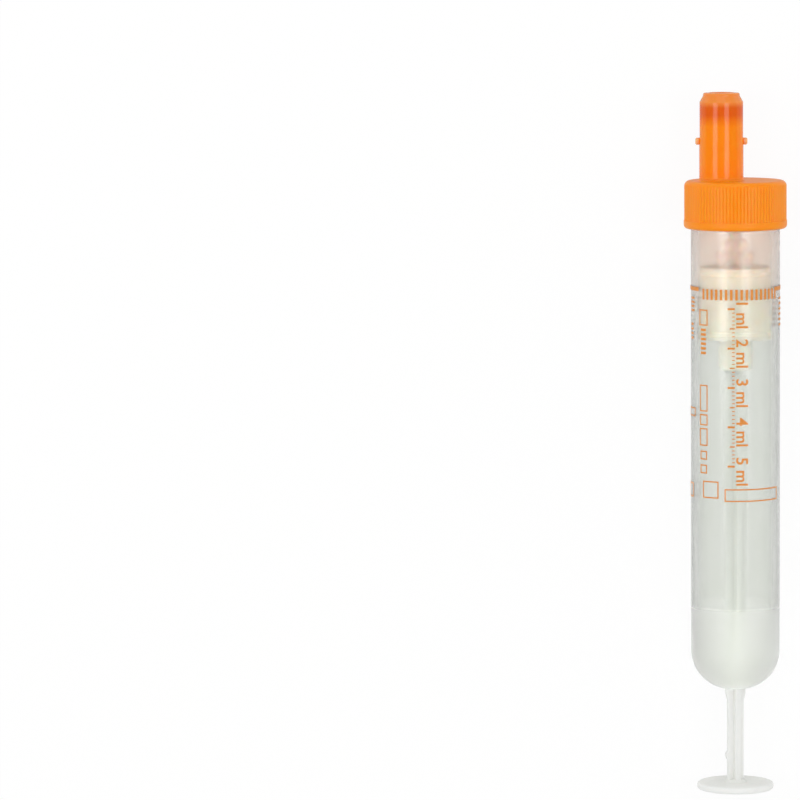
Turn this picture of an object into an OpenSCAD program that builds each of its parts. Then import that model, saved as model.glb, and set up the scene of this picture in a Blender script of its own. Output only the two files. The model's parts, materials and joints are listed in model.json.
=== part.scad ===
// Blood collection tube of the syringe type: a clear barrel with a round base, a fluted
// screw cap with an off-centre needle nozzle, and a plunger whose rod leaves through the base.
// All pieces are drawn on one axis, with height measured from the outside of the base, and are
// then laid down: the barrel lies along +Y, on the cap's rim and on the round of its base.

/* [Barrel] */
// Outer radius of the barrel
tube_r = 8; // [7.8:0.05:8.1]
// Wall thickness of the barrel and its base
tube_wall = 1.3; // [1:0.05:1.4]
// Height of the barrel's mouth over its base
mouth_h = 91; // [84:0.25:96]
// Radius of the round between wall and base
base_round = 7; // [5:0.25:7.25]
// Outer radius of the threaded neck
neck_r = 7.55; // [7.4:0.05:7.7]
// Length of the threaded neck, from the shoulder to the mouth
neck_len = 7.1; // [7:0.05:7.3]
// Radius of the hole that guides the plunger rod
rod_hole_r = 2.6; // [2.5:0.05:2.8]

/* [Screw cap] */
// Radius of the rim at the foot of the skirt
rim_r = 9.3; // [9.26:0.02:9.4]
// Radius over the tips of the flutes
flute_r = 9.2; // [9.1:0.02:9.24]
// Depth of the grooves between the flutes
flute_depth = 0.14; // [0.1:0.02:0.2]
// Number of flutes around the skirt
flute_count = 90; // [40:2:120]
// Height of the skirt, from its foot to the top of the cap
skirt_h = 8.65; // [8.45:0.05:8.75]
// Thickness of the cap's top plate
plate_t = 1.35; // [1:0.05:1.5]
// Radius of the rounded top edge
cap_round = 1; // [0.8:0.05:1.2]

/* [Needle nozzle] */
// Distance of the nozzle from the axis of the barrel
nozzle_offset = 2.52; // [2.3:0.02:2.6]
// Height of the nozzle over the cap
nozzle_h = 15.75; // [15:0.05:17]
// Radius of the nozzle below its lugs
nozzle_foot_r = 3.98; // [3.95:0.01:4]
// Radius of the nozzle above its lugs
nozzle_r = 3.92; // [3.85:0.01:3.94]
// Radius of the narrow band at the nozzle's end
nozzle_tip_r = 3.3; // [3.2:0.05:3.5]
// Radius of the needle port in the end face
port_r = 2.1; // [1.8:0.05:2.2]
// Depth of the needle port, down to the stopper
port_depth = 2.1; // [1.8:0.1:2.3]
// Thickness of the stopper
stopper_t = 2.7; // [2.4:0.1:3]
// Height of the lugs over the cap
lug_h = 7.03; // [6:0.01:8]

/* [Plunger] */
// Height of the piston's front face over the base, as delivered
piston_front = 76.9; // [72:0.05:77.5]
// Length of the piston's skirt
piston_len = 13; // [12:0.25:14]
// Radial gap between the piston's lips and the barrel
lip_gap = 0.05; // [0.02:0.01:0.08]
// Radius of the piston's hub
hub_r = 2.95; // [2.85:0.05:3]
// How far the hub stands out of the piston's skirt
hub_out = 5.65; // [4.5:0.05:6]
// Thickness of the rod's ribs
rib_t = 0.9; // [0.7:0.05:1.1]
// Turn of the cross of ribs about the axis
rib_turn = 20; // [0:5:45]
// Radius of the thumb disc
disc_r = 6.95; // [6:0.05:7.2]
// Thickness of the thumb disc
disc_t = 1.25; // [1:0.05:1.4]
// How far the disc's underside lies below the barrel's base
disc_drop = 18.45; // [17:0.05:22]

/* [Label and beads] */
// Thickness of the printed film around the barrel
film_t = 0.07; // [0.05:0.01:0.1]
// Height of the film's lower edge over the base
film_low = 15.5; // [14:0.25:30]
// Height of the film's upper edge over the base
film_high = 83.2; // [78:0.1:83.4]
// Radius of one coated bead
bead_r = 1.2; // [1:0.05:1.25]

/* [Hidden] */
$fn = 96;
BEADS = 6;

eps = 0.01;        // overlap that joins or cuts cleanly
seat_gap = 0.05;   // between faces of bodies that move apart
touch = 0.01;      // between round pieces that rest on each other

// Barrel
bore_r = tube_r - tube_wall;
base_flat_r = tube_r - base_round;
shoulder_h = mouth_h - neck_len;
shoulder_round = 0.4;
mouth_chamfer = 0.3;
boss_r = 4;
boss_h = 2.9;
hub_seat_r = hub_r + 0.15;
hub_seat_h = 1.6;

// Cap
cap_top = mouth_h + seat_gap + plate_t;
plate_low = cap_top - plate_t;
skirt_low = cap_top - skirt_h;
skirt_in_r = 8.25;
skirt_lead = 0.2;
groove_r = flute_r - flute_depth;
flute_tip = 0.44;                // share of a flute's pitch that its tip takes up
flute_clear = 0.05;              // by which the groove cutters stand out of the flutes
flute_low = skirt_low + 1.46;
rim_round = 0.7;
plug_r = bore_r - 0.06;
plug_in_r = 5.6;
plug_low = plate_low - 3.4;
plug_lead = [0.3, 0.6];

// Nozzle
nozzle_top = cap_top + nozzle_h;
nozzle_low = plate_low + 0.2;
nozzle_bevel = 1.65;
nozzle_tip_h = 0.5;
nozzle_tip_round = 0.35;
lug_high = cap_top + lug_h;
nozzle_step_h = lug_high + 0.87;
nozzle_fillet = 0.4;
passage_r = 2.95;
port_lead = 0.2;
lug_r = 0.64;
lug_out = 4.68;
lug_edge = 0.2;
stopper_high = nozzle_top - port_depth;
stopper_low = stopper_high - stopper_t;
stopper_r = passage_r - 0.02;
stopper_round = 0.25;
stopper_hollow_r = 1.4;
stopper_hollow_h = 0.9;
retainer_r = 0.2;

// Piston
lip_r = bore_r - lip_gap;
waist_r = bore_r - 0.15;
piston_in_r = waist_r - 1.05;
piston_face_t = 1.6;
piston_back = piston_front - piston_len;
hub_low = piston_back - hub_out;
lip_len = 1;
lip_round = 0.25;
lip_inset = 0.55;
face_round = 0.5;
hub_round = 0.3;
web_t = 0.9;
web_inset = 1;      // of the webs from the skirt's back edge
web_root = 0.3;     // by which the webs reach into the skirt's wall
socket_r = 1.75;
socket_len = 10.5;

// Rod
disc_top = disc_t - disc_drop;
disc_round = 0.5;
rod_gap = 0.02;
barb = 0.1;
barb_len = 1.2;
barb_inset = 0.8;
stem_len = socket_len - 0.5;
stem_r = socket_r - rod_gap - barb;
collar_r = 2;
collar_len = 0.6;
notch_r = 1;
notch_len = 0.6;
core_r = 0.75;
flare_h = hub_low - collar_len - notch_len;
// Outline of one rib, as [reach from the axis, height over the base], from the notch down
rib_edge = [[1.95, flare_h], [2.39, flare_h - 3.6], [1.8, -0.9], [1.5, -2.2],
            [1.44, disc_top + 1.2], [1.62, disc_top]];
bump_h = -12.3;
bump_r = 1.2;
bump_out = 1.84;
foot_r = 2.1;
foot_top_r = rib_edge[4].x + 0.1;
foot_h = 0.5;

// Label
film_gap = touch;
seam_w = 1.5;

// Beads: [place across the trough in bead widths, row]
bead_places = [[-1, 0], [0, 0], [1, 0], [-0.5, 1], [0.5, 1], [0, 2]];
bead_path_r = bore_r - bead_r - touch;
bead_step = bead_r * sqrt(3) + 0.03;

// Lying pose: the rim's round and the base's round both touch the floor
rim_c = [rim_r - rim_round, skirt_low + rim_round];
base_c = [base_flat_r, base_round];
reach = rim_c - base_c;
lean = atan2(reach.x, reach.y) - asin((base_round - rim_round) / norm(reach));
axis_z = base_round + base_c.x * cos(lean) - base_c.y * sin(lean);
far_y = nozzle_top * cos(lean) + (nozzle_tip_r - nozzle_tip_round) * sin(lean);
near_y = -disc_drop * cos(lean) - (disc_r - disc_round) * sin(lean);

// Lays what is drawn along +Z down along +Y, front side up, over the middle of its length
module lay()
    translate([0, -(far_y + near_y) / 2, axis_z])
        rotate([lean - 90, 0, 0])
            children();

// What to cut from a square corner at p to round it by r; dir points out of the corner
module corner_cut(p, r, dir)
    difference() {
        translate([p.x - (dir.x > 0 ? r : eps), p.y - (dir.y > 0 ? r : eps)])
            square(r + eps);
        translate([p.x - dir.x * r, p.y - dir.y * r])
            circle(r);
    }

// A ring's section: inner radius, outer radius, lower height and upper height
module ring(r_in, r_out, low, high)
    translate([r_in, low])
        square([r_out - r_in, high - low]);

// Half section of the barrel's outside, moved in by inset, up to height top
module barrel_outline(inset, top) {
    corner = base_round - inset;
    translate(base_c)
        intersection() {
            circle(corner);
            translate([0, -corner])
                square(corner);
        }
    ring(0, base_flat_r, inset, base_round + eps);
    ring(0, tube_r - inset, base_round, top);
}

module tube()
    color([0.86, 0.89, 0.87, 0.5])
    lay()
    rotate_extrude()
    difference() {
        union() {
            difference() {
                barrel_outline(0, mouth_h);
                barrel_outline(tube_wall, mouth_h + 1);
            }
            ring(rod_hole_r, boss_r, tube_wall - eps, boss_h);
        }
        // the hole for the rod, and the seat that catches the hub
        ring(-1, rod_hole_r, -1, boss_h + 1);
        ring(0, hub_seat_r, hub_seat_h, boss_h + 1);
        // the neck that the cap screws on to, over a shoulder with a rounded edge
        ring(neck_r, tube_r + 1, shoulder_h, mouth_h + 1);
        corner_cut([tube_r, shoulder_h], shoulder_round, [1, 1]);
        // chamfers at the mouth
        polygon([[neck_r - mouth_chamfer, mouth_h + eps], [neck_r + eps, mouth_h + eps],
                 [neck_r + eps, mouth_h - mouth_chamfer]]);
        polygon([[bore_r - eps, mouth_h - mouth_chamfer], [bore_r - eps, mouth_h + eps],
                 [bore_r + mouth_chamfer, mouth_h + eps]]);
    }

// Half section of the cap's skirt, top plate and sealing plug, without the flutes
module cap_section()
    difference() {
        union() {
            difference() {
                union() {
                    ring(0, flute_r, skirt_low, cap_top);
                    ring(0, rim_r, skirt_low, flute_low);
                }
                ring(-1, skirt_in_r, skirt_low - 1, plate_low);
                polygon([[skirt_in_r - eps, skirt_low - eps],
                         [skirt_in_r + skirt_lead, skirt_low - eps],
                         [skirt_in_r - eps, skirt_low + skirt_lead]]);
                corner_cut([flute_r, cap_top], cap_round, [1, 1]);
                corner_cut([rim_r, skirt_low], rim_round, [1, -1]);
            }
            polygon([[plug_in_r, plate_low + eps], [plug_in_r, plug_low],
                     [plug_r - plug_lead.x, plug_low], [plug_r, plug_low + plug_lead.y],
                     [plug_r, plate_low + eps]]);
        }
        ring(-1, 0, skirt_low - 1, cap_top + 1);
    }

// What to cut out between the flutes: V grooves that run out in the rounded top edge
module grooves()
    translate([0, 0, flute_low])
    linear_extrude(cap_top - flute_low + 1)
    for (i = [1:flute_count])
        let (pitch = 360 / flute_count,
             half = pitch * (1 - flute_tip) / 2 * (1 + flute_clear / flute_depth),
             edge = flute_r + flute_clear)
            polygon([groove_r * [cos(i * pitch), sin(i * pitch)],
                     edge * [cos(i * pitch + half), sin(i * pitch + half)],
                     edge * [cos(i * pitch - half), sin(i * pitch - half)]]);

// Half section of the nozzle's outside
module nozzle_section() {
    difference() {
        polygon([[0, nozzle_low], [nozzle_foot_r, nozzle_low], [nozzle_foot_r, lug_high],
                 [nozzle_r, nozzle_step_h], [nozzle_r, nozzle_top - nozzle_bevel],
                 [nozzle_tip_r, nozzle_top - nozzle_tip_h], [nozzle_tip_r, nozzle_top],
                 [0, nozzle_top]]);
        corner_cut([nozzle_tip_r, nozzle_top], nozzle_tip_round, [1, 1]);
    }
    translate([nozzle_foot_r - eps, cap_top - eps])
        difference() {
            square(nozzle_fillet);
            translate([nozzle_fillet, nozzle_fillet])
                circle(nozzle_fillet - eps);
        }
}

// Half section of the way through the nozzle: port, stopper seat with its retainer, passage
module nozzle_bore()
    difference() {
        union() {
            ring(-1, port_r, stopper_high - eps, nozzle_top + 1);
            polygon([[-1, nozzle_top - port_lead], [port_r, nozzle_top - port_lead],
                     [port_r + port_lead + eps, nozzle_top + eps], [-1, nozzle_top + eps]]);
            ring(-1, passage_r, plate_low - 1, stopper_high);
        }
        translate([passage_r, stopper_low - retainer_r])
            circle(retainer_r);
        ring(-2, 0, 0, nozzle_top + 2);
    }

// One of the pegs that a needle holder turns on to
module lug()
    rotate([0, 90, 0]) {
        cylinder(r = lug_r, h = lug_out - lug_edge);
        translate([0, 0, lug_out - lug_edge])
            cylinder(r1 = lug_r, r2 = lug_r - lug_edge, h = lug_edge);
    }

module screw_cap()
    color([0.98, 0.55, 0.12])
    lay()
    difference() {
        union() {
            difference() {
                rotate_extrude() cap_section();
                grooves();
            }
            translate([-nozzle_offset, 0, 0]) {
                rotate_extrude() nozzle_section();
                for (side = [0, 180])
                    translate([0, 0, lug_high])
                        rotate(side)
                            lug();
            }
        }
        translate([-nozzle_offset, 0, 0])
            rotate_extrude() nozzle_bore();
    }

module stopper()
    color([0.62, 0.27, 0.1])
    lay()
    translate([-nozzle_offset, 0, 0])
    rotate_extrude()
    difference() {
        ring(0, stopper_r, stopper_low, stopper_high);
        // the hollow that thins the stopper where the needle goes through
        ring(-1, stopper_hollow_r, stopper_low - 1, stopper_low + stopper_hollow_h);
        corner_cut([stopper_r, stopper_low], stopper_round, [1, -1]);
        ring(-2, 0, stopper_low - 2, stopper_high + 1);
    }

// Section of one sealing lip: a band with rounded edges, from the skirt's wall outwards
module lip(low)
    difference() {
        ring(piston_in_r + 0.2, lip_r, low, low + lip_len);
        corner_cut([lip_r, low], lip_round, [1, -1]);
        corner_cut([lip_r, low + lip_len], lip_round, [1, 1]);
    }

module piston()
    color([0.93, 0.89, 0.81])
    lay()
    difference() {
        union() {
            rotate_extrude() {
                difference() {
                    ring(0, waist_r, piston_back, piston_front);
                    ring(-1, piston_in_r, piston_back - 1, piston_front - piston_face_t);
                    corner_cut([waist_r, piston_front], face_round, [1, 1]);
                }
                lip(piston_front - lip_inset - lip_len);
                lip(piston_back + lip_inset);
                difference() {
                    ring(0, hub_r, hub_low, piston_front - eps);
                    corner_cut([hub_r, hub_low], hub_round, [1, -1]);
                }
            }
            // the webs that tie the hub to the skirt
            for (turn = [45, 135])
                rotate(turn)
                    translate([-piston_in_r - web_root, -web_t / 2, piston_back + web_inset])
                        cube([2 * (piston_in_r + web_root), web_t,
                              piston_len - web_inset - piston_face_t / 2]);
        }
        // the socket that the rod snaps into
        translate([0, 0, hub_low - 1])
            cylinder(r = socket_r, h = socket_len + 1);
    }

// Outline of the two ribs that lie in one plane
module rib_outline() {
    for (side = [0, 1])
        mirror([side, 0])
            polygon(concat([[0, flare_h]], rib_edge, [[0, disc_top]]));
}

module plunger_rod()
    color([0.94, 0.95, 0.93])
    lay() {
        rotate_extrude() {
            difference() {
                // stem in the piston's socket, with a barb
                union() {
                    ring(0, stem_r, hub_low - eps, hub_low + stem_len);
                    ring(0, stem_r + barb, hub_low + stem_len - barb_inset - barb_len,
                         hub_low + stem_len - barb_inset);
                    // collar under the hub, and the notch where the rod is snapped off
                    ring(0, collar_r, hub_low - collar_len, hub_low);
                    ring(0, notch_r, flare_h - eps, hub_low - collar_len + eps);
                    ring(0, core_r, -disc_drop + eps, flare_h);
                }
                ring(-1, 0, -disc_drop - 1, cap_top);
            }
            // thumb disc with a rounded rim and a low foot under the ribs
            difference() {
                ring(0, disc_r, -disc_drop, disc_top);
                corner_cut([disc_r, -disc_drop], disc_round, [1, -1]);
                corner_cut([disc_r, disc_top], disc_round, [1, 1]);
            }
            polygon([[0, disc_top - eps], [foot_r, disc_top - eps],
                     [foot_top_r, disc_top + foot_h], [0, disc_top + foot_h]]);
        }
        rotate(rib_turn)
            for (turn = [0, 90])
                rotate(turn)
                    rotate([90, 0, 0])
                        linear_extrude(rib_t, center = true) {
                            rib_outline();
                            if (turn == 0)
                                translate([bump_r - bump_out, bump_h])
                                    circle(bump_r);
                        }
    }

module label_film()
    color([0.93, 0.95, 0.96, 0.3])
    lay()
    difference() {
        rotate_extrude()
            ring(tube_r + film_gap, tube_r + film_gap + film_t, film_low, film_high);
        // the seam, on the side away from the print
        translate([-seam_w / 2, tube_r - 1, film_low - 1])
            cube([seam_w, 2, film_high - film_low + 2]);
    }

// Bead number i: it lies in the trough of the bore, in its row in front of the piston
module bead(i) {
    place = bead_places[i - 1];
    turn = asin(place.x * 2 * (bead_r + touch) / bead_path_r);
    color([0.95, 0.9, 0.86])
    lay()
    rotate(turn)
    translate([0, bead_path_r, piston_front + bead_r + seat_gap + place.y * bead_step])
        sphere(bead_r);
}

tube();
screw_cap();
stopper();
piston();
plunger_rod();
label_film();
for (i = [1:BEADS])
    bead(i);
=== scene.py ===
"""Blood collection tube of the syringe type, lying on its side: finishes, print and threads.

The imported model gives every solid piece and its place. This script dresses those pieces in the
plastics they are moulded from, adds the print on the barrel's film and the two screw threads
that the solids leave out, and sets up a plain studio. Sizes of new pieces are in millimetres,
measured on the tube's own axis, and go into the frame in metres.
"""

import json
import logging
import math
from dataclasses import dataclass
from enum import Enum
from typing import Any

import bmesh
import bpy
import numpy as np
from mathutils import Matrix, Vector


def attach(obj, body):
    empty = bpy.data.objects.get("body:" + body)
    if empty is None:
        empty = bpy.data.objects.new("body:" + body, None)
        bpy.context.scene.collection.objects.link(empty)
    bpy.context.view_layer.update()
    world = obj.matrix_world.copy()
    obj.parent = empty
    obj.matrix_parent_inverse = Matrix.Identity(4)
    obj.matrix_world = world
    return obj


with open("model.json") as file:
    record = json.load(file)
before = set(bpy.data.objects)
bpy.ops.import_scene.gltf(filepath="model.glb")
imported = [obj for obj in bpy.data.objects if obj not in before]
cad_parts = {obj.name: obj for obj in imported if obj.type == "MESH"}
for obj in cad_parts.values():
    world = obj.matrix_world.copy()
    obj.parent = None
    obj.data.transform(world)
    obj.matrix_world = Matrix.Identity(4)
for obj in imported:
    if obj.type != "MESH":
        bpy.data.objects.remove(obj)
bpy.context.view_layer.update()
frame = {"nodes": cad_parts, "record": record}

MM = 0.001
WHITE = "#ffffff"

log = logging.getLogger("tube")

# Two numbers that belong together, such as the two ends of a range.
Pair = tuple[float, float]

# A patch of print on the unrolled film: left, right, lower and upper edge in millimetres.
Patch = tuple[float, float, float, float]


class Body(Enum):
    """The bodies that new pieces ride on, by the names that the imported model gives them."""

    BARREL = "barrel"
    CAP = "cap"


class Flow(Enum):
    """How far a moulding's fine pattern is drawn out: across, along and through the axis."""

    EVEN = (1.0, 1.0, 1.0)
    ALONG = (1.0, 0.08, 1.0)


# ---------------------------------------------------------------- the tube's own axis


@dataclass(frozen=True)
class TubeAxis:
    """The axis that barrel, cap and plunger share, as it lies in the frame.

    Heights run along it from the outside of the barrel's base towards the cap. The front is the
    printed side, which faces up, and the right is the right hand of someone reading the print.
    """

    origin: np.ndarray
    along: np.ndarray
    right: np.ndarray

    @classmethod
    def of_record(cls, record: dict[str, Any], base_round: float) -> "TubeAxis":
        """Finds the axis from the mount that names the barrel's straight wall.

        Args:
            record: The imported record, whose "body" mount is the wall's middle and direction.
            base_round: Height in millimetres at which the straight wall starts.

        Returns:
            The axis, with its origin at the outside of the barrel's base.
        """
        mount = mount_of(record, "body")
        along = -np.array(mount["axis"], float)
        middle = mount["dims"]["length_mm"] / 2 + base_round
        origin = np.array(mount["pos_m"], float) - along * middle * MM
        return cls(origin, along, np.array((1.0, 0.0, 0.0)))

    @property
    def front(self) -> np.ndarray:
        """The direction of the printed side, square to the axis."""
        return np.cross(self.right, self.along)

    @property
    def lean(self) -> float:
        """Angle in radians by which the cap's end lies higher than the base."""
        return math.asin(self.along[2])

    def point(self, right: Any, front: Any, height: Any) -> np.ndarray:
        """Turns places in millimetres on the tube into points of the frame in metres.

        Args:
            right: Distance to the right of the axis, a number or an array.
            front: Distance to the front of the axis, likewise.
            height: Height over the base, likewise.

        Returns:
            Array of points, with the three coordinates last.
        """
        places = np.stack(np.broadcast_arrays(right, front, height), axis=-1)
        return self.origin + places @ np.stack([self.right, self.front, self.along]) * MM

    def way(self, turn: float) -> np.ndarray:
        """Direction at a turn from the front towards the right: its cosine and sine of them."""
        return math.cos(turn) * self.front + math.sin(turn) * self.right

    def around(self, turn: Any, radius: Any, height: Any) -> np.ndarray:
        """Points at a turn from the front towards the right: radius times its sine and cosine."""
        return self.point(radius * np.sin(turn), radius * np.cos(turn), height)


def mount_of(record: dict[str, Any], name: str) -> dict[str, Any]:
    """The record's mount of that name."""
    return next(mount for mount in record["mounts"] if mount["name"] == name)


# ---------------------------------------------------------------- meshes


def swept(name: str, profiles: np.ndarray) -> bpy.types.Object:
    """Makes one mesh of bars, each a closed profile carried along a path of its own.

    Neighbouring stations of a bar are joined corner to corner by quads, and its first and last
    profile close its ends. Corners run anticlockwise about the direction of travel, so that all
    faces point outwards.

    Args:
        name: Name of the new piece.
        profiles: Points in metres, indexed by bar, station, corner and coordinate.

    Returns:
        The new object, at the origin.
    """
    bars, stations, corners, _ = profiles.shape
    index = np.arange(bars * stations * corners).reshape(bars, stations, corners)
    here, ahead = index[:, :-1], index[:, 1:]
    sides = [here, np.roll(here, -1, axis=2), np.roll(ahead, -1, axis=2), ahead]
    faces = np.stack(sides, axis=-1).reshape(-1, 4).tolist()
    faces += index[:, 0, ::-1].tolist() + index[:, -1].tolist()
    mesh = bpy.data.meshes.new(name)
    mesh.from_pydata(profiles.reshape(-1, 3).tolist(), [], faces)
    return placed(name, mesh)


def placed(name: str, mesh: bpy.types.Mesh) -> bpy.types.Object:
    """Puts a finished mesh into the scene.

    Args:
        name: Name of the object.
        mesh: Its mesh, which holds its place as well.

    Returns:
        The new object, at the origin.
    """
    made = bpy.data.objects.new(name, mesh)
    bpy.context.scene.collection.objects.link(made)
    return made


def finish_piece(piece: bpy.types.Object, body: Body, finish: "Finish") -> None:
    """Dresses a new piece and lets it ride on its body.

    Args:
        piece: The piece.
        body: The body that it moves with.
        finish: What it is made of.
    """
    piece.data.materials.append(finish.material())
    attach(piece, body.value)
    log.info("%s: %d faces, rides on %s", piece.name, len(piece.data.polygons), body.value)


# ---------------------------------------------------------------- shader helpers


def linear(colour: str) -> tuple[float, float, float, float]:
    """Turns an sRGB colour into linear light.

    Args:
        colour: A hex colour such as "#f08020".

    Returns:
        Red, green and blue from 0 to 1, and a 1 for cover.
    """
    parts = (int(colour[i:i + 2], 16) / 255 for i in (1, 3, 5))
    red, green, blue = (c / 12.92 if c <= 0.04045 else ((c + 0.055) / 1.055) ** 2.4 for c in parts)
    return (red, green, blue, 1.0)


def node(tree: bpy.types.NodeTree, kind: str, settings: dict[Any, Any] | None = None,
         links: dict[Any, Any] | None = None) -> bpy.types.Node:
    """Adds a shader node with its settings and links.

    Args:
        tree: The node tree.
        kind: The node's type name in Blender.
        settings: Values by input name or number, or by the node's own property.
        links: Output sockets to plug in, by input name or number.

    Returns:
        The new node.
    """
    made = tree.nodes.new(kind)
    for key, value in (settings or {}).items():
        if isinstance(key, int) or key in made.inputs:
            made.inputs[key].default_value = value
        else:
            setattr(made, key, value)
    for key, socket in (links or {}).items():
        tree.links.new(socket, made.inputs[key])
    return made


class Finish:
    """A surface that pieces are dressed in. Each kind builds its shader once.

    In each kind, sizes, depths and reaches are in millimetres, an edge is the range of the noise
    over which one look turns into another, and gloss is the range of the roughness.
    """

    name: str

    def shader(self, tree: bpy.types.NodeTree) -> bpy.types.NodeSocket:
        """Fills the tree with the nodes of the finish.

        Args:
            tree: The material's node tree.

        Returns:
            The socket for the material's surface.
        """
        raise NotImplementedError

    def material(self) -> bpy.types.Material:
        """Makes the material at the first call and shares it after that.

        Returns:
            The finished material.
        """
        made = bpy.data.materials.get(self.name)
        if made is None:
            made = bpy.data.materials.new(self.name)
            made.use_nodes = True
            tree = made.node_tree
            tree.nodes.clear()
            node(tree, "ShaderNodeOutputMaterial", {}, {"Surface": self.shader(tree)})
        return made


@dataclass(frozen=True)
class Pattern:
    """Helpers that lay a fine pattern on a moulding, in the tube's own directions."""

    tree: bpy.types.NodeTree
    axis: TubeAxis
    flow: Flow = Flow.EVEN

    def places(self) -> bpy.types.NodeSocket:
        """Turns Object coordinates on to the tube.

        Returns:
            Right, height and front of each place, in metres.
        """
        raw = node(self.tree, "ShaderNodeTexCoord").outputs["Object"]
        return node(self.tree, "ShaderNodeMapping",
                    {"vector_type": "TEXTURE", "Location": tuple(self.axis.origin),
                     "Rotation": (self.axis.lean, 0.0, 0.0)}, {"Vector": raw}).outputs["Vector"]

    def noise(self, size: float, detail: float = 3.0) -> bpy.types.NodeSocket:
        """Lays noise over the moulding.

        Args:
            size: Size of its patches in millimetres.
            detail: Number of finer layers on them.

        Returns:
            The noise, from 0 to 1.
        """
        drawn = node(self.tree, "ShaderNodeMapping", {"Scale": self.flow.value},
                     {"Vector": self.places()}).outputs["Vector"]
        return node(self.tree, "ShaderNodeTexNoise",
                    {"Scale": 1 / (size * MM), "Detail": detail, "Roughness": 0.55},
                    {"Vector": drawn}).outputs["Fac"]

    def spread(self, value: bpy.types.NodeSocket, low: float, high: float,
               start: float = 0.3, end: float = 0.7) -> bpy.types.NodeSocket:
        """Maps one range of a value on to another, and holds it there beyond the ends.

        Args:
            value: The value.
            low: What the start of the range becomes.
            high: What its end becomes.
            start: Start of the range, by itself that of most noise.
            end: Its end, likewise.

        Returns:
            The mapped value.
        """
        return node(self.tree, "ShaderNodeMapRange",
                    {"From Min": start, "From Max": end, "To Min": low, "To Max": high},
                    {"Value": value}).outputs["Result"]

    def blend(self, share: bpy.types.NodeSocket, first: Any, second: Any) -> bpy.types.NodeSocket:
        """Mixes two colours.

        Args:
            share: Share of the second one, from 0 to 1.
            first: The first one, as a hex string or a socket.
            second: The second one, likewise.

        Returns:
            The mixed colour.
        """
        made = node(self.tree, "ShaderNodeMix", {"data_type": "RGBA"}, {0: share})
        for number, colour in ((6, first), (7, second)):
            if isinstance(colour, str):
                made.inputs[number].default_value = linear(colour)
            else:
                self.tree.links.new(colour, made.inputs[number])
        return made.outputs[2]

    def bump(self, height: bpy.types.NodeSocket, depth: float) -> bpy.types.NodeSocket:
        """Raises the surface by up to `depth` millimetres where height is 1."""
        return node(self.tree, "ShaderNodeBump", {"Strength": 1.0, "Distance": depth * MM},
                    {"Height": height}).outputs["Normal"]

    def rise(self, way: bpy.types.NodeSocket, start: float, end: float) -> bpy.types.NodeSocket:
        """Share of a way in metres, from 0 at `start` millimetres to 1 at `end`."""
        return self.spread(way, 0, 1, start * MM, end * MM)

    def along(self) -> bpy.types.NodeSocket:
        """The height over the barrel's base, in metres."""
        return node(self.tree, "ShaderNodeSeparateXYZ", {}, {0: self.places()}).outputs["Y"]


# ---------------------------------------------------------------- finishes


@dataclass(frozen=True)
class ClearPolypropylene(Finish):
    """Clarified polypropylene, injection moulded against a polished core.

    It is clear with a faint grey-green milkiness and a soft gloss. Towards the cap its colour has
    a painted glow, painted light for the orange that shines into it from the cap. Melt lines
    along the barrel bend what is seen through it a little, and towards the round base the mould
    was left matt, so that the plastic looks frosted there.
    """

    axis: TubeAxis
    name: str = "clear_polypropylene_moulded"
    tint: str = "#fdfefb"
    cloud: str = "#fafcf7"
    # Painted glow of the orange cap, laid on towards the cap.
    painted_cap_glow: str = "#fff3ea"
    shine_through: str = "#fcfdfb"
    painted_glow_reach: Pair = (62.0, 84.0)
    cloud_size: float = 5.0
    line_size: float = 1.1
    line_depth: float = 0.003
    gloss: Pair = (0.16, 0.25)
    frosting: Pair = (0.6, 0.15)
    frosted_reach: Pair = (2.0, 20.0)
    haze: float = 0.5

    def shader(self, tree: bpy.types.NodeTree) -> bpy.types.NodeSocket:
        """Glass-like body with drawn-out melt lines and a haze. Lamps shine through it.

        Args:
            tree: The material's node tree.

        Returns:
            The socket for the material's surface.
        """
        lines = Pattern(tree, self.axis, Flow.ALONG)
        clouds = Pattern(tree, self.axis)
        height = clouds.along()
        patches = clouds.spread(clouds.noise(self.cloud_size), 0, 1)
        plain = clouds.blend(patches, self.tint, self.cloud)
        # Painted light: towards the cap the colour turns to a painted glow of the orange cap.
        colour = clouds.blend(clouds.rise(height, *self.painted_glow_reach), plain, self.painted_cap_glow)
        matt, clear = (reach * MM for reach in self.frosted_reach)
        melt = lines.noise(self.line_size)
        rough = node(tree, "ShaderNodeMath", {"operation": "MAXIMUM"},
                     {0: lines.spread(melt, *self.gloss),
                      1: clouds.spread(height, *self.frosting, matt, clear)}).outputs[0]
        shade = node(tree, "ShaderNodeBsdfPrincipled",
                     {"IOR": 1.49, "Transmission Weight": 0.98, "Sheen Weight": self.haze,
                      "Sheen Roughness": 0.5},
                     {"Base Color": colour,
                      "Roughness": rough,
                      "Normal": lines.bump(melt, self.line_depth)})
        passing = node(tree, "ShaderNodeBsdfTransparent", {"Color": linear(self.shine_through)})
        lamp = node(tree, "ShaderNodeLightPath").outputs["Is Shadow Ray"]
        return node(tree, "ShaderNodeMixShader", {},
                    {0: lamp, 1: shade.outputs[0], 2: passing.outputs[0]}).outputs[0]


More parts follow.
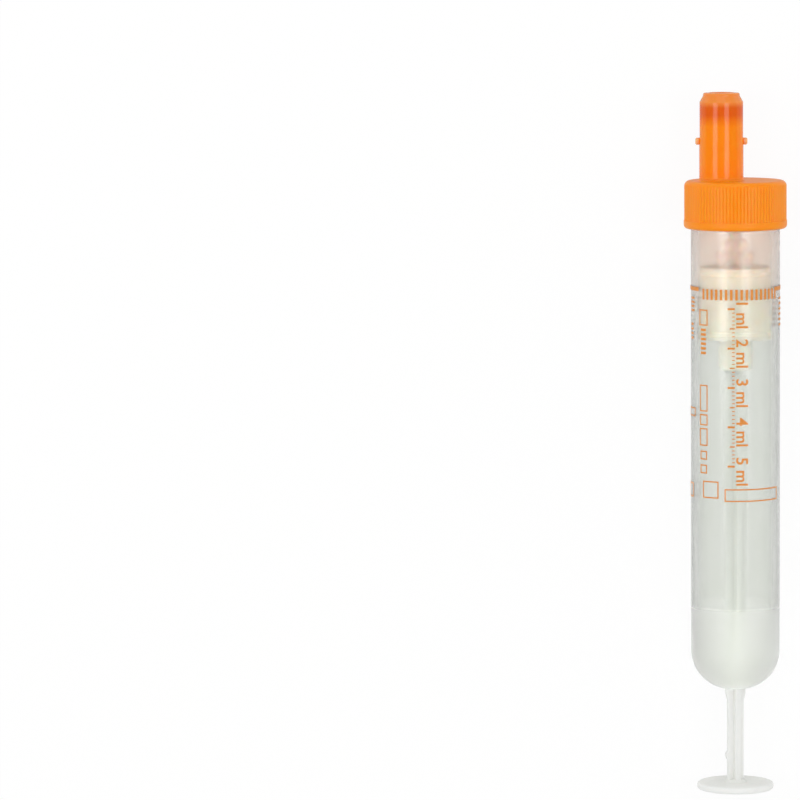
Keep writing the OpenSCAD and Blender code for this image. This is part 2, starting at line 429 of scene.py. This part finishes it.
@dataclass(frozen=True)
class LabelFilm(Finish):
    """Clear label film with a cold glue, wrapped round the barrel.

    It shows as a glossier skin with a faint grain of glue behind it and long shallow ripples. It
    dims the barrel a little, and towards the cap its colour has a painted glow, painted light for
    the orange cap shining into the tube.
    """

    axis: TubeAxis
    name: str = "clear_label_film"
    tint: str = "#c6cbc3"
    grey: str = "#bcc3bc"
    # Painted glow of the orange cap, laid on towards the cap.
    painted_cap_glow: str = "#f6e0d0"
    painted_glow_reach: Pair = (66.0, 77.0)
    cover: float = 0.07
    grain_size: float = 0.5
    ripple_size: float = 2.2
    ripple_depth: float = 0.003
    gloss: Pair = (0.1, 0.2)

    def shader(self, tree: bpy.types.NodeTree) -> bpy.types.NodeSocket:
        """Mostly see-through gloss, so the barrel and the print keep their own looks.

        Args:
            tree: The material's node tree.

        Returns:
            The socket for the material's surface.
        """
        glue = Pattern(tree, self.axis)
        ripples = Pattern(tree, self.axis, Flow.ALONG)
        grain = glue.noise(self.grain_size)
        plain = glue.blend(glue.spread(grain, 0, 1), self.tint, self.grey)
        # Painted light: towards the cap the film's colour turns to a painted glow of the orange
        # cap.
        colour = glue.blend(glue.rise(glue.along(), *self.painted_glow_reach), plain, self.painted_cap_glow)
        ripple = ripples.noise(self.ripple_size)
        return node(tree, "ShaderNodeBsdfPrincipled", {"IOR": 1.5, "Alpha": self.cover},
                    {"Base Color": colour,
                     "Roughness": glue.spread(grain, *self.gloss),
                     "Normal": ripples.bump(ripple, self.ripple_depth)}).outputs[0]


@dataclass(frozen=True)
class PrintInk(Finish):
    """Orange ink laid on film by a printing plate.

    It is flat and opaque, with a fine unevenness where the plate pressed less.
    """

    axis: TubeAxis
    name: str = "orange_print_ink"
    colour: str = "#dc8526"
    thin: str = "#e8a860"
    speck_size: float = 0.18
    speck_depth: float = 0.003
    speck_edge: Pair = (0.5, 0.75)
    speck_share: float = 0.8
    gloss: Pair = (0.35, 0.5)

    def shader(self, tree: bpy.types.NodeTree) -> bpy.types.NodeSocket:
        """Satin ink with lighter specks where it is thin.

        Args:
            tree: The material's node tree.

        Returns:
            The socket for the material's surface.
        """
        press = Pattern(tree, self.axis)
        specks = press.noise(self.speck_size, detail=4.0)
        share = press.spread(specks, 0, self.speck_share, *self.speck_edge)
        return node(tree, "ShaderNodeBsdfPrincipled", {"IOR": 1.5},
                    {"Base Color": press.blend(share, self.colour, self.thin),
                     "Roughness": press.spread(specks, *self.gloss),
                     "Normal": press.bump(specks, self.speck_depth)}).outputs[0]


@dataclass(frozen=True)
class OrangePolyethylene(Finish):
    """High density polyethylene coloured orange, injection moulded.

    It is waxy and slightly translucent. The nozzle is glossy, and the skirt is duller and yellower
    than its thin wall. Over the stopper the wall has a band of painted shade, a deeper colour that
    stands in for the dark rubber right behind it, and the lugs have a painted highlight, a pale
    colour for the light that passes through them. The reaches of the band over the stopper and of
    the tip are measured from the stopper's two ends.
    """

    axis: TubeAxis
    stopper: Pair
    name: str = "orange_polyethylene_moulded"
    colour: str = "#fb8400"
    thick: str = "#fc8e00"
    bloom: str = "#fe9a20"
    painted_stopper_shade: str = "#de5e06"
    # Painted shade over the stopper, for the dark rubber behind the wall.
    wan: str = "#ea8c3e"
    # Painted highlight on the lugs, for the light that passes through them.
    pale: str = "#f2b07c"
    skirt_reach: Pair = (92.6, 93.6)
    painted_shade_reach: Pair = (-1.2, 0.9)
    tip_reach: Pair = (-0.5, 0.5)
    nozzle_side: float = 2.52
    lug_reach: Pair = (3.98, 4.15)
    lug_foot: Pair = (97.0, 97.5)
    bloom_size: float = 2.4
    bloom_share: float = 0.3
    peel_size: float = 0.35
    peel_depth: float = 0.004
    gloss: Pair = (0.07, 0.11)
    dullness: float = 0.3

    def shader(self, tree: bpy.types.NodeTree) -> bpy.types.NodeSocket:
        """Waxy orange with a fine peel, the stopper's band and pale lugs.

        Args:
            tree: The material's node tree.

        Returns:
            The socket for the material's surface.
        """
        wax = Pattern(tree, self.axis)
        place = node(tree, "ShaderNodeSeparateXYZ", {}, {0: wax.places()}).outputs
        height = place["Y"]
        low, high = self.stopper
        band = (low + reach for reach in self.painted_shade_reach)
        end = (high + reach for reach in self.tip_reach)
        skirt = wax.spread(height, 1, 0, *(reach * MM for reach in self.skirt_reach))
        wall = wax.blend(skirt, self.colour, self.thick)
        bloom = wax.spread(wax.noise(self.bloom_size), 0, self.bloom_share)
        plain = wax.blend(bloom, wall, self.bloom)
        # Painted shade: over the stopper the colour turns deeper, for the dark rubber behind the
        # wall.
        over = wax.blend(wax.rise(height, *band), plain, self.painted_stopper_shade)
        tip = wax.blend(wax.rise(height, *end), over, self.wan)
        # Painted highlight: the lugs turn pale, for the light that passes through them.
        colour = wax.blend(self.lugs(wax, place), tip, self.pale)
        peel = wax.noise(self.peel_size)
        dull = node(tree, "ShaderNodeMath", {"operation": "MULTIPLY_ADD", 1: self.dullness},
                    {0: skirt, 2: wax.spread(peel, *self.gloss)}).outputs[0]
        return node(tree, "ShaderNodeBsdfPrincipled",
                    {"IOR": 1.5, "Specular IOR Level": 0.35, "Subsurface Weight": 0.5,
                     "Subsurface Scale": 1.6 * MM, "Subsurface Radius": (1.0, 0.45, 0.12)},
                    {"Base Color": colour,
                     "Roughness": dull,
                     "Normal": wax.bump(peel, self.peel_depth)}).outputs[0]

    def lugs(self, wax: Pattern, place: Any) -> bpy.types.NodeSocket:
        """Finds the lugs: above the cap, and farther from the nozzle's axis than its wall.

        Args:
            wax: The pattern of the finish.
            place: Output sockets with the right, height and front of each place.

        Returns:
            Share of the lugs, 1 on them and 0 elsewhere.
        """
        side = node(wax.tree, "ShaderNodeMath", {"operation": "ADD", 1: self.nozzle_side * MM},
                    {0: place["X"]}).outputs[0]
        reach = node(wax.tree, "ShaderNodeMath", {"operation": "ABSOLUTE"}, {0: side}).outputs[0]
        return node(wax.tree, "ShaderNodeMath", {"operation": "MULTIPLY"},
                    {0: wax.rise(place["Y"], *self.lug_foot),
                     1: wax.rise(reach, *self.lug_reach)}).outputs[0]


@dataclass(frozen=True)
class CreamPolyethylene(Finish):
    """Low density polyethylene left in its own cream colour, injection moulded.

    It is soft to the eye: waxy, with a dull gloss and faint clouds from the melt.
    """

    axis: TubeAxis
    name: str = "cream_polyethylene_moulded"
    colour: str = "#fff0e2"
    cloud: str = "#fbe8d5"
    cloud_size: float = 1.8
    grain_size: float = 0.3
    grain_depth: float = 0.006
    gloss: Pair = (0.38, 0.5)

    def shader(self, tree: bpy.types.NodeTree) -> bpy.types.NodeSocket:
        """Waxy cream with clouds and a fine grain.

        Args:
            tree: The material's node tree.

        Returns:
            The socket for the material's surface.
        """
        wax = Pattern(tree, self.axis)
        grain = wax.noise(self.grain_size)
        clouds = wax.spread(wax.noise(self.cloud_size), 0, 1)
        return node(tree, "ShaderNodeBsdfPrincipled",
                    {"IOR": 1.51, "Subsurface Weight": 0.9, "Subsurface Scale": 2.5 * MM,
                     "Subsurface Radius": (1.0, 0.7, 0.5)},
                    {"Base Color": wax.blend(clouds, self.colour, self.cloud),
                     "Roughness": wax.spread(grain, *self.gloss),
                     "Normal": wax.bump(grain, self.grain_depth)}).outputs[0]


@dataclass(frozen=True)
class NaturalPolypropylene(Finish):
    """Polypropylene without colour in a thick moulding.

    It is milky white and lets light glow through its ribs, with melt lines along the rod.
    """

    axis: TubeAxis
    name: str = "natural_polypropylene_moulded"
    colour: str = "#dddeda"
    cloud: str = "#dadcd8"
    cloud_size: float = 1.6
    line_size: float = 0.6
    line_depth: float = 0.003
    gloss: Pair = (0.4, 0.55)

    def shader(self, tree: bpy.types.NodeTree) -> bpy.types.NodeSocket:
        """Milky white with melt lines and a soft gloss.

        Args:
            tree: The material's node tree.

        Returns:
            The socket for the material's surface.
        """
        lines = Pattern(tree, self.axis, Flow.ALONG)
        clouds = Pattern(tree, self.axis)
        melt = lines.noise(self.line_size)
        patches = clouds.spread(clouds.noise(self.cloud_size), 0, 1)
        return node(tree, "ShaderNodeBsdfPrincipled",
                    {"IOR": 1.49, "Subsurface Weight": 1.0, "Subsurface Scale": 5.0 * MM,
                     "Subsurface Radius": (1.0, 0.95, 0.9)},
                    {"Base Color": clouds.blend(patches, self.colour, self.cloud),
                     "Roughness": lines.spread(melt, *self.gloss),
                     "Normal": lines.bump(melt, self.line_depth)}).outputs[0]


@dataclass(frozen=True)
class StopperRubber(Finish):
    """Red-brown butyl rubber, compression moulded: matt, with a fine even grain."""

    axis: TubeAxis
    name: str = "brown_butyl_rubber"
    colour: str = "#7a3b22"
    dust: str = "#8c4c31"
    grain_size: float = 0.15
    grain_depth: float = 0.008
    gloss: Pair = (0.65, 0.85)

    def shader(self, tree: bpy.types.NodeTree) -> bpy.types.NodeSocket:
        """Matt rubber with a trace of release powder.

        Args:
            tree: The material's node tree.

        Returns:
            The socket for the material's surface.
        """
        skin = Pattern(tree, self.axis)
        grain = skin.noise(self.grain_size, detail=2.0)
        return node(tree, "ShaderNodeBsdfPrincipled", {"IOR": 1.52},
                    {"Base Color": skin.blend(skin.spread(grain, 0, 1), self.colour, self.dust),
                     "Roughness": skin.spread(grain, *self.gloss),
                     "Normal": skin.bump(grain, self.grain_depth)}).outputs[0]


@dataclass(frozen=True)
class CoatedBead(Finish):
    """Polystyrene bead with the additive dried on it: chalky, pink-white, patchy."""

    axis: TubeAxis
    name: str = "coated_polystyrene_bead"
    core: str = "#fbdccd"
    coat: str = "#fff8f4"
    patch_size: float = 0.5
    patch_depth: float = 0.03
    patch_edge: Pair = (0.42, 0.58)
    gloss: Pair = (0.4, 0.85)

    def shader(self, tree: bpy.types.NodeTree) -> bpy.types.NodeSocket:
        """Chalky coat in patches over a smoother core.

        Args:
            tree: The material's node tree.

        Returns:
            The socket for the material's surface.
        """
        crust = Pattern(tree, self.axis)
        patches = crust.noise(self.patch_size, detail=4.0)
        share = crust.spread(patches, 0, 1, *self.patch_edge)
        return node(tree, "ShaderNodeBsdfPrincipled",
                    {"IOR": 1.55, "Subsurface Weight": 0.8, "Subsurface Scale": 1.0 * MM},
                    {"Base Color": crust.blend(share, self.core, self.coat),
                     "Roughness": crust.spread(patches, *self.gloss, *self.patch_edge),
                     "Normal": crust.bump(patches, self.patch_depth)}).outputs[0]


# ---------------------------------------------------------------- pieces


@dataclass(frozen=True)
class ScrewThread:
    """A right-hand screw thread of one start, as a ridge of four corners.

    The ridge's middle climbs one pitch a turn. Its profile, as radius and height, is a trapezium
    whose foot stands a little inside the wall and whose reach fades to its least share over the
    run-out, in turns, at each end.
    """

    name: str
    body: Body
    slot: str
    root_r: float
    crest_r: float
    low: float
    pitch: float = 3.2
    turns: float = 1.4
    root_w: float = 1.0
    crest_w: float = 0.45
    sink: float = 0.02
    run_out: float = 0.12
    least_share: float = 0.05
    stations_a_turn: int = 120

    def build(self, axis: TubeAxis, finish: Finish) -> None:
        """Makes the ridge and dresses it.

        Args:
            axis: The tube's axis.
            finish: What the threaded piece is moulded from.
        """
        turn = np.linspace(0, self.turns, round(self.turns * self.stations_a_turn) + 1)
        rise = np.clip(np.minimum(turn, self.turns - turn) / self.run_out, self.least_share, 1)
        outward = math.copysign(1, self.crest_r - self.root_r)
        foot = np.full_like(turn, self.root_r - outward * self.sink)
        crest = self.root_r + (self.crest_r - self.root_r) * rise
        half_root, half_crest = self.root_w / 2, self.crest_w / 2
        radius = np.stack([foot, foot, crest, crest], axis=1)
        offset = np.array([-half_root, half_root, half_crest, -half_crest])
        if outward < 0:
            radius, offset = radius[:, ::-1], offset[::-1]
        height = (self.low + self.pitch * turn)[:, None] + offset
        angle = (2 * math.pi * turn)[:, None]
        piece = swept(self.name, axis.around(angle, radius, height)[None])
        finish_piece(piece, self.body, finish)


@dataclass(frozen=True)
class FilmPrint:
    """The print on the film: a ring, a volume scale with numerals, and blank outlined fields.

    Places are millimetres on the unrolled film: the arc from the front line, to the right, and
    the height over the base. A tick mark is a length and a thickness. Each numeral starts above
    its mark by a share of its size. Columns of dashes are a patch, a count and the share of the
    pitch that each dash fills.
    """

    film_r: float
    bore_area: float
    zero: float
    gap: float = 0.01
    ink: float = 0.02
    arc_step: float = 0.3
    stroke: float = 0.22
    ring_height: float = 72.78
    ring_w: float = 0.68
    ring_ends: Pair = (-7.7, 8.46)
    seam: float = 0.9
    band: Patch = (-6.57, 8.83, 71.36, 73.26)
    band_bars: int = 17
    band_filled: float = 0.5
    scale_right: float = -0.1
    ml_marks: int = 5
    tenths: int = 10
    tenth_mark: Pair = (0.5, 0.16)
    half_mark: Pair = (0.9, 0.24)
    whole_mark: Pair = (1.3, 0.36)
    numeral_left: float = 0.2
    numeral_size: float = 3.0
    numeral_lead: float = 0.57
    numeral_bold: float = 0.05
    numeral_steps: int = 3
    weld: float = 1e-5
    fields: tuple[Patch, ...] = (
        (-7.4, -5.36, 66.65, 69.55), (-7.27, -5.37, 51.16, 55.96), (-7.27, -5.37, 48.66, 50.66),
        (-7.27, -5.37, 44.96, 48.16), (-7.1, -5.5, 42.46, 44.06), (-7.1, -5.5, 39.96, 41.56),
        (-6.47, -3.09, 35.56, 38.66), (-1.96, 9.32, 35.05, 37.35), (-12.2, -9.6, 35.37, 37.97),
        (-11.9, -8.8, 50.05, 51.65))
    dashes: tuple[tuple[Patch, int, float], ...] = (
        ((-7.0, -5.75, 61.5, 66.1), 6, 0.55), ((-10.8, -9.2, 69.0, 71.6), 4, 0.5),
        ((-10.8, -9.6, 64.0, 66.9), 4, 0.5), ((10.4, 12.2, 66.3, 71.5), 6, 0.45))

    @property
    def girth(self) -> float:
        """Length once round the film."""
        return 2 * math.pi * self.film_r

    @property
    def ml(self) -> float:
        """Length of bore that holds one millilitre."""
        return 1000 / self.bore_area

    def wrapped(self, axis: TubeAxis, arc: Any, height: Any, depth: Any) -> np.ndarray:
        """Rolls flat places on to the film: the turn is the arc over the film's radius."""
        return axis.around(arc / self.film_r, self.film_r + self.gap + depth, height)

    def patches(self, axis: TubeAxis, name: str, patches: list[Patch], finish: Finish) -> None:
        """Prints rectangles: the section of the ink carried round the film from left to right.

        Args:
            axis: The tube's axis.
            name: Name of the piece that holds them.
            patches: The rectangles.
            finish: The ink.
        """
        left, right, low, high = np.array(patches).T[:, :, None, None]
        stations = max(2, math.ceil(float((right - left).max()) / self.arc_step) + 1)
        share = np.linspace(0, 1, stations)[None, :, None]
        arc = left + (right - left) * share
        depth = np.array([0, 0, self.ink, self.ink])
        height = np.where(np.array([0, 1, 1, 0]), high, low)
        piece = swept(name, self.wrapped(axis, arc, height, depth))
        finish_piece(piece, Body.BARREL, finish)

    def outline(self, patch: Patch) -> list[Patch]:
        """Draws a blank box.

        Args:
            patch: Its outer edges.

        Returns:
            Its four strokes.
        """
        left, right, low, high = patch
        thick = self.stroke
        return [(left, right, low, low + thick), (left, right, high - thick, high),
                (left, left + thick, low + thick, high - thick),
                (right - thick, right, low + thick, high - thick)]

    def bars(self, start: float, end: float, count: int, filled: float) -> list[Pair]:
        """Divides a stretch into bars, of one pitch from start to start.

        Args:
            start: Where the first bar starts.
            end: Where the last bar ends.
            count: Number of bars.
            filled: Share of the pitch that each bar fills.

        Returns:
            The two ends of each bar.
        """
        pitch = (end - start) / (count - 1 + filled)
        return [(start + i * pitch, start + (i + filled) * pitch) for i in range(count)]

    def row(self, patch: Patch, count: int, filled: float) -> list[Patch]:
        """Bars side by side across a patch."""
        left, right, low, high = patch
        return [(start, end, low, high) for start, end in self.bars(left, right, count, filled)]

    def column(self, patch: Patch, count: int, filled: float) -> list[Patch]:
        """Bars one above the other in a patch."""
        left, right, low, high = patch
        return [(left, right, start, end) for start, end in self.bars(low, high, count, filled)]

    def ring(self) -> list[Patch]:
        """Draws a line round the back, with the film's seam left bare.

        Returns:
            Its two halves, from the right end to the seam and from there to the left end.
        """
        left, right = self.ring_ends
        back = self.girth / 2
        low, high = self.ring_height, self.ring_height + self.ring_w
        return [(right, back - self.seam, low, high),
                (back + self.seam, self.girth + left, low, high)]

    def scale_marks(self) -> list[Patch]:
        """Draws a tick for each tenth, half and whole millilitre that the piston has drawn.

        Returns:
            The ticks, from the cap to the base.
        """
        marks = []
        right = self.scale_right
        for i in range(self.tenths, self.ml_marks * self.tenths + 1):
            long, thick = self.tenth_mark
            if i % self.tenths == 0:
                long, thick = self.whole_mark
            elif i % (self.tenths // 2) == 0:
                long, thick = self.half_mark
            height = self.zero - i * self.ml / self.tenths
            marks.append((right - long, right, height - thick / 2, height + thick / 2))
        return marks

    def numerals(self, axis: TubeAxis, name: str, finish: Finish) -> None:
        """Prints a number beside each whole millilitre, reading from the cap to the base.

        Each is set as flat text, turned so that it reads down the tube, cut into strips across
        its height and rolled on to the film with the same formula as the rest.

        Args:
            axis: The tube's axis.
            name: Name of the piece.
            finish: The ink.
        """
        left = self.numeral_left
        sheet = bmesh.new()
        for mark in range(1, self.ml_marks + 1):
            curve = bpy.data.curves.new("figure", "FONT")
            curve.body = f"{mark} ml"
            curve.size = self.numeral_size
            curve.offset = self.numeral_bold
            curve.resolution_u = self.numeral_steps
            curve.extrude = self.ink / 2
            figure = bpy.data.objects.new("figure", curve)
            flat = bpy.data.meshes.new_from_object(figure)
            start = self.zero - mark * self.ml + self.numeral_lead * self.numeral_size
            flat.transform(Matrix(((0, 1, 0, left), (-1, 0, 0, start), (0, 0, 1, self.ink / 2),
                                   (0, 0, 0, 1))))
            sheet.from_mesh(flat)
            bpy.data.objects.remove(figure)
            bpy.data.curves.remove(curve)
            bpy.data.meshes.remove(flat)
        bmesh.ops.remove_doubles(sheet, verts=sheet.verts, dist=self.weld)
        for cut in np.arange(left - self.arc_step, left + self.numeral_size, self.arc_step):
            every = sheet.verts[:] + sheet.edges[:] + sheet.faces[:]
            bmesh.ops.bisect_plane(sheet, geom=every, plane_co=(cut, 0, 0), plane_no=(1, 0, 0))
        mesh = bpy.data.meshes.new(name)
        sheet.to_mesh(mesh)
        sheet.free()
        flat_places = np.empty(len(mesh.vertices) * 3, np.float32)
        mesh.vertices.foreach_get("co", flat_places)
        arc, height, depth = flat_places.reshape(-1, 3).astype(float).T
        mesh.vertices.foreach_set("co", self.wrapped(axis, arc, height, depth).ravel())
        mesh.update()
        finish_piece(placed(name, mesh), Body.BARREL, finish)

    def build(self, axis: TubeAxis, finish: Finish) -> None:
        """Prints everything on the film.

        Args:
            axis: The tube's axis.
            finish: The ink.
        """
        band = self.row(self.band, self.band_bars, self.band_filled)
        strokes = [stroke for field in self.fields for stroke in self.outline(field)]
        dashes = [dash for column in self.dashes for dash in self.column(*column)]
        self.patches(axis, "print_ring", self.ring(), finish)
        self.patches(axis, "print_band", band, finish)
        self.patches(axis, "print_scale", self.scale_marks(), finish)
        self.numerals(axis, "print_numerals", finish)
        self.patches(axis, "print_fields", strokes, finish)
        self.patches(axis, "print_dashes", dashes, finish)


# ---------------------------------------------------------------- studio


@dataclass(frozen=True)
class Studio:
    """Pale floor, white surroundings, softboxes and the camera.

    The camera's place is in millimetres on the tube's axis, and turns are taken from the front
    towards the right. Two narrow softboxes, in metres like the others, give the nozzle its two
    streaks. One at the head lights the nozzle's end, and four fill lamps round the front, which
    no gloss mirrors, light the inside through the clear barrel.
    """

    camera_front: float = 950.0
    camera_height: float = 152.49
    depression: float = math.radians(6.001)
    yaw: float = math.radians(3.6375)
    lens: float = 237.4
    clip: Pair = (0.1, 20.0)
    softbox_turns: Pair = (math.radians(-32.5), math.radians(28.6))
    softbox_size: Pair = (0.29, 0.22)
    softbox_height: float = 95.0
    softbox_distance: float = 0.7
    softbox_watts: float = 0.6
    head_turn: float = math.radians(38)
    head_size: Pair = (0.5, 0.5)
    head_watts: float = 0.45
    fill_turns: tuple[float, ...] = tuple(math.radians(turn) for turn in (-75, -25, 25, 75))
    fill_size: Pair = (0.5, 0.5)
    fill_distance: float = 0.9
    fill_watts: float = 0.56
    floor_colour: str = "#f6f6f5"
    floor_size: float = 8.0
    floor_glow: float = 0.92
    ambient: float = 0.68
    through: float = 0.84
    sky_mirrored: float = 0.25
    floor_mirrored: float = 0.7

    def seen(self, tree: bpy.types.NodeTree, low: float, straight: float, through: float,
             mirrored: float) -> bpy.types.NodeSocket:
        """A value by the kind of ray. What is seen through plastic counts before what is mirrored.

        Args:
            tree: The node tree.
            low: The value for light that matt surfaces gather.
            straight: The value for what the camera sees itself.
            through: The value for what is seen through the clear plastic.
            mirrored: The value for what a gloss mirrors.

        Returns:
            The socket that holds it.
        """
        path = node(tree, "ShaderNodeLightPath").outputs
        value = None
        for ray, high in (("Is Camera Ray", straight), ("Is Glossy Ray", mirrored),
                          ("Is Transmission Ray", through)):
            chosen = node(tree, "ShaderNodeMix", {2: low, 3: high}, {0: path[ray]})
            if value is not None:
                tree.links.new(value, chosen.inputs[2])
            value = chosen.outputs[0]
        return value

    def floor(self) -> None:
        """A pale floor that keeps the tube's shadow but looks nearly white."""
        half = self.floor_size / 2
        mesh = bpy.data.meshes.new("floor")
        corners = [(-half, -half, 0), (half, -half, 0), (half, half, 0), (-half, half, 0)]
        mesh.from_pydata(corners, [], [(0, 1, 2, 3)])
        material = bpy.data.materials.new("pale_floor")
        material.use_nodes = True
        tree = material.node_tree
        tree.nodes.clear()
        matt = node(tree, "ShaderNodeBsdfDiffuse", {"Color": linear(self.floor_colour)})
        glow = node(tree, "ShaderNodeEmission", {"Color": linear(WHITE)},
                    {"Strength": self.seen(tree, 0, 1.0, self.through, self.floor_mirrored)})
        mixed = node(tree, "ShaderNodeMixShader", {},
                     {0: self.seen(tree, 0, self.floor_glow, 1.0, 1.0), 1: matt.outputs[0],
                      2: glow.outputs[0]})
        node(tree, "ShaderNodeOutputMaterial", {}, {"Surface": mixed.outputs[0]})
        mesh.materials.append(material)
        placed("floor", mesh)

    def surroundings(self) -> None:
        """White all round to look at, and a weaker even light on matt surfaces."""
        world = bpy.data.worlds.new("surroundings")
        world.use_nodes = True
        tree = world.node_tree
        tree.nodes.clear()
        sky = node(tree, "ShaderNodeBackground", {"Color": linear(WHITE)},
                   {"Strength": self.seen(tree, self.ambient, 1.0, 1.0, self.sky_mirrored)})
        node(tree, "ShaderNodeOutputWorld", {}, {"Surface": sky.outputs[0]})
        bpy.context.scene.world = world

    def softbox(self, name: str, middle: np.ndarray, away: np.ndarray, side: np.ndarray,
                size: Pair, watts: float) -> bpy.types.Object:
        """A rectangular softbox that faces a point of the tube.

        Args:
            name: Name of the lamp.
            middle: The point that it faces, in the frame.
            away: Way from there to the lamp, in metres.
            side: Direction of its width, square to the other.
            size: Width and height in metres.
            watts: Its power.

        Returns:
            The lamp.
        """
        data = bpy.data.lights.new(name, "AREA")
        data.shape = "RECTANGLE"
        data.size, data.size_y = size
        data.energy = watts
        lamp = bpy.data.objects.new(name, data)
        lamp.visible_camera = False
        back = away / np.linalg.norm(away)
        self.aim(lamp, middle + away, side, np.cross(back, side), back)
        return lamp

    def aim(self, thing: bpy.types.Object, place: np.ndarray, right: np.ndarray,
            up: np.ndarray, back: np.ndarray) -> None:
        """Puts a lamp or the camera in its place and links it to the scene.

        Args:
            thing: The lamp or camera.
            place: Its place in the frame.
            right: Direction of its right hand.
            up: Direction of its upper side.
            back: Direction away from what it faces.
        """
        turned = Matrix([Vector(way) for way in (right, up, back)]).transposed()
        thing.matrix_world = Matrix.Translation(Vector(place)) @ turned.to_4x4()
        bpy.context.scene.collection.objects.link(thing)

    def camera(self, axis: TubeAxis) -> None:
        """Sets up a long lens that looks down on the print, with the tube at its right.

        Args:
            axis: The tube's axis.
        """
        data = bpy.data.cameras.new("camera")
        data.lens = self.lens
        data.clip_start, data.clip_end = self.clip
        level = -math.cos(self.depression) * axis.front - math.sin(self.depression) * axis.along
        up = -math.sin(self.depression) * axis.front + math.cos(self.depression) * axis.along
        ahead = math.cos(self.yaw) * level - math.sin(self.yaw) * axis.right
        right = math.cos(self.yaw) * axis.right + math.sin(self.yaw) * level
        made = bpy.data.objects.new("camera", data)
        self.aim(made, axis.point(0, self.camera_front, self.camera_height), right, up, -ahead)
        bpy.context.scene.camera = made

    def build(self, axis: TubeAxis) -> None:
        """Sets up the whole studio and its plain view transform.

        Args:
            axis: The tube's axis.
        """
        self.floor()
        self.surroundings()
        middle = axis.point(0, 0, self.softbox_height)
        for turn, name in zip(self.softbox_turns, ("softbox_left", "softbox_right")):
            away = axis.way(turn)
            self.softbox(name, middle, away * self.softbox_distance, np.cross(axis.along, away),
                         self.softbox_size, self.softbox_watts)
        away = math.sin(self.head_turn) * axis.front + math.cos(self.head_turn) * axis.along
        self.softbox("softbox_head", middle, away * self.softbox_distance, axis.right,
                     self.head_size, self.head_watts)
        for number, turn in enumerate(self.fill_turns):
            away = axis.way(turn)
            fill = self.softbox(f"fill_{number}", middle, away * self.fill_distance,
                                np.cross(axis.along, away), self.fill_size, self.fill_watts)
            fill.visible_glossy = False
        self.camera(axis)
        bpy.context.scene.view_settings.view_transform = "Standard"


# ---------------------------------------------------------------- the tube


@dataclass(frozen=True)
class CollectionTube:
    """The whole tube: the solids of the frame in their finishes, and the pieces added to them."""

    axis: TubeAxis
    bore_r: float = 6.7
    piston_front: float = 76.9
    stopper_reach: Pair = (103.35, 106.05)

    def finishes(self) -> dict[str, Finish]:
        """Chooses the finish of each solid.

        Returns:
            The finishes by the name of the solid's node, and one for all the beads.
        """
        return {"tube": ClearPolypropylene(self.axis),
                "screw_cap": OrangePolyethylene(self.axis, self.stopper_reach),
                "stopper": StopperRubber(self.axis),
                "piston": CreamPolyethylene(self.axis),
                "plunger_rod": NaturalPolypropylene(self.axis),
                "label_film": LabelFilm(self.axis),
                "bead": CoatedBead(self.axis)}

    def dress(self, finishes: dict[str, Finish]) -> None:
        """Gives each solid of the frame its finish, through its material slots.

        Args:
            finishes: The finishes by the name of the solid's node, and one for all the beads.
        """
        for name, solid in frame["nodes"].items():
            kind = "bead" if name.startswith("bead_") else name
            for slot in solid.material_slots:
                slot.material = finishes[kind].material()
            log.info("%s: %s", name, finishes[kind].name)

    def build(self) -> None:
        """Dresses the solids and adds threads and print."""
        finishes = self.finishes()
        self.dress(finishes)
        neck = ScrewThread("neck_thread", Body.BARREL, "clear_pp", root_r=7.55, crest_r=7.85,
                           low=85.4)
        neck.build(self.axis, finishes["tube"])
        cap = ScrewThread("cap_thread", Body.CAP, "orange_pe", root_r=8.25, crest_r=7.95, low=85.9)
        cap.build(self.axis, finishes["screw_cap"])
        film_r = mount_of(frame["record"], "body")["dims"]["r_mm"]
        film = FilmPrint(film_r, bore_area=math.pi * self.bore_r ** 2, zero=self.piston_front)
        film.build(self.axis, PrintInk(self.axis))


def main() -> None:
    """Builds the tube and its studio."""
    logging.basicConfig(level=logging.INFO, format="%(message)s")
    axis = TubeAxis.of_record(frame["record"], base_round=7.0)
    CollectionTube(axis).build()
    Studio().build(axis)


if __name__ == "__main__":
    main()
